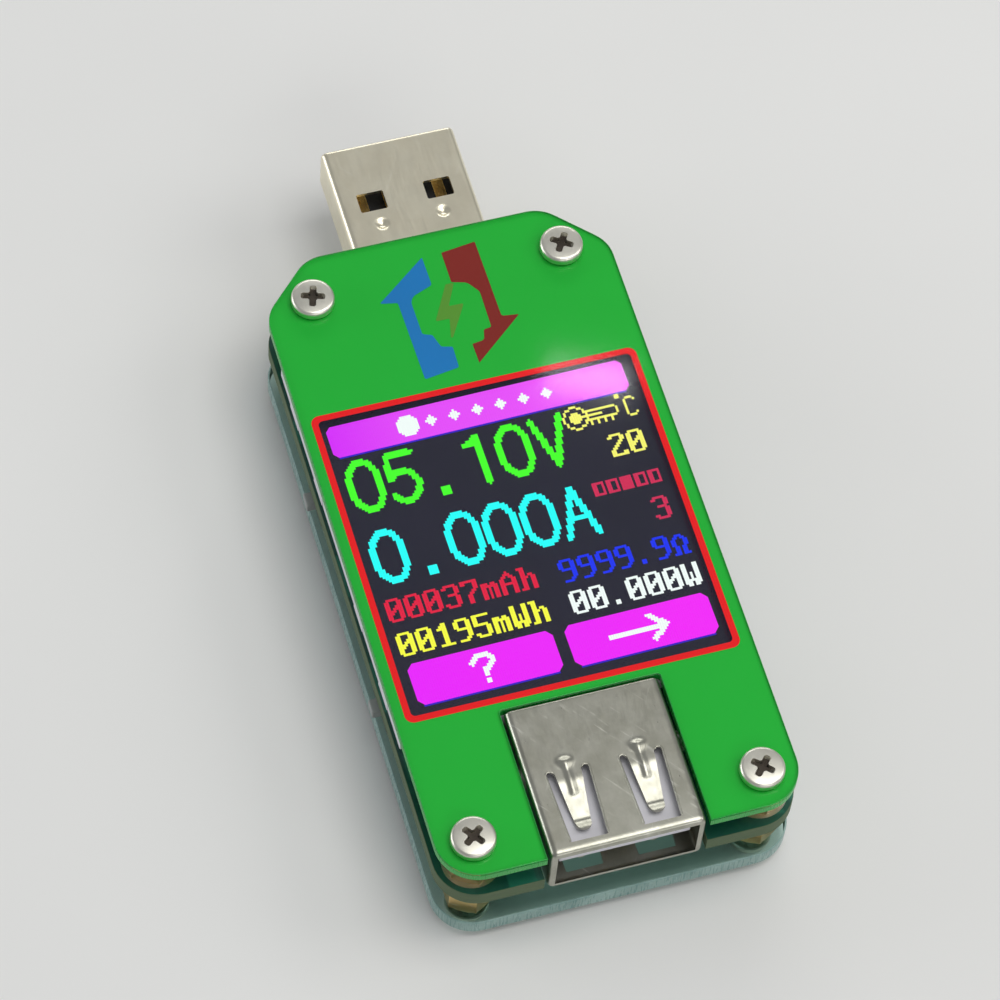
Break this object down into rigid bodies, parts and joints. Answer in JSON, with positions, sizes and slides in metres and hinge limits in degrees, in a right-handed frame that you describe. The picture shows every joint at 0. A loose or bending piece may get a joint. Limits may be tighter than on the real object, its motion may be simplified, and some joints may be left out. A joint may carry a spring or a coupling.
{
  "type": "usb power meter",
  "caption": "Inline power meter: colour display under a green panel, a plug at one end, a socket at the other, on a board with a clear rear cover and side buttons.",
  "frame": {"origin": "centre of the bounding box in plan, on the plane of the rear screws' heads, which the meter rests on", "axes": "+Z out of the display, +Y towards the plug, +X to the right when the display is read with the plug at the top"},
  "size_m": [0.0318, 0.0716, 0.0124],
  "materials": {
    "panel_green": "clear acrylic, printed bright green on its back, glossy",
    "acrylic_clear": "clear acrylic with a faint green tint, polished",
    "board_green": "glass-epoxy laminate under dark teal solder mask, semi-gloss",
    "brass": "turned, bright",
    "nickel": "nickel plate, satin",
    "tin_plate": "tin plate, satin with fine scratches",
    "gold_plate": "thin gold plate, bright",
    "white_plastic": "moulded, satin",
    "black_plastic": "moulded, matte",
    "button_grey": "moulded, satin",
    "display_glass": "glass with a lit colour display behind it, gloss",
    "cable_amber": "polyimide film over copper, satin",
    "foam_black": "foam tape, matte",
    "chip_black": "moulded epoxy, matte",
    "ferrite": "ferrite, matte"
  },
  "bodies": {
    "meter": {"front_panel": "panel_green", "circuit_board": "board_green", "rear_cover": "acrylic_clear", "front_screw_1": "nickel", "front_screw_2": "nickel", "front_screw_3": "nickel", "front_screw_4": "nickel", "rear_screw_1": "nickel", "rear_screw_2": "nickel", "rear_screw_3": "nickel", "rear_screw_4": "nickel", "upper_standoff_1": "brass", "upper_standoff_2": "brass", "upper_standoff_3": "brass", "upper_standoff_4": "brass", "lower_standoff_1": "brass", "lower_standoff_2": "brass", "lower_standoff_3": "brass", "lower_standoff_4": "brass", "display_frame": "white_plastic", "display_glass": "display_glass", "display_cable": "cable_amber", "display_tape": "foam_black", "plug_shell": "nickel", "plug_insulator": "black_plastic", "plug_contact_1": "gold_plate", "plug_contact_2": "gold_plate", "plug_contact_3": "gold_plate", "plug_contact_4": "gold_plate", "socket_shell": "tin_plate", "socket_insulator": "white_plastic", "socket_contact_1": "gold_plate", "socket_contact_2": "gold_plate", "socket_contact_3": "gold_plate", "socket_contact_4": "gold_plate", "switch_base_1": "black_plastic", "switch_base_2": "black_plastic", "switch_base_3": "black_plastic", "switch_base_4": "black_plastic", "switch_cover_1": "tin_plate", "switch_cover_2": "tin_plate", "switch_cover_3": "tin_plate", "switch_cover_4": "tin_plate", "micro_socket_shell": "tin_plate", "micro_socket_insulator": "black_plastic", "processor_chip": "chip_black", "radio_chip": "chip_black", "current_shunt": "chip_black", "voltage_regulator": "chip_black", "crystal": "tin_plate", "choke": "ferrite"},
    "button_1": {"button_1": "button_grey"},
    "button_2": {"button_2": "button_grey"},
    "button_3": {"button_3": "button_grey"},
    "button_4": {"button_4": "button_grey"}
  },
  "joints": [
    {"name": "button_1_press", "type": "slide", "parent": "meter", "child": "button_1", "axis": [1, 0, 0], "range_m": [0, 0.00025], "stiffness_N_per_m": 1000},
    {"name": "button_2_press", "type": "slide", "parent": "meter", "child": "button_2", "axis": [-1, 0, 0], "range_m": [0, 0.00025], "stiffness_N_per_m": 1000},
    {"name": "button_3_press", "type": "slide", "parent": "meter", "child": "button_3", "axis": [1, 0, 0], "range_m": [0, 0.00025], "stiffness_N_per_m": 1000},
    {"name": "button_4_press", "type": "slide", "parent": "meter", "child": "button_4", "axis": [-1, 0, 0], "range_m": [0, 0.00025], "stiffness_N_per_m": 1000}
  ]
}
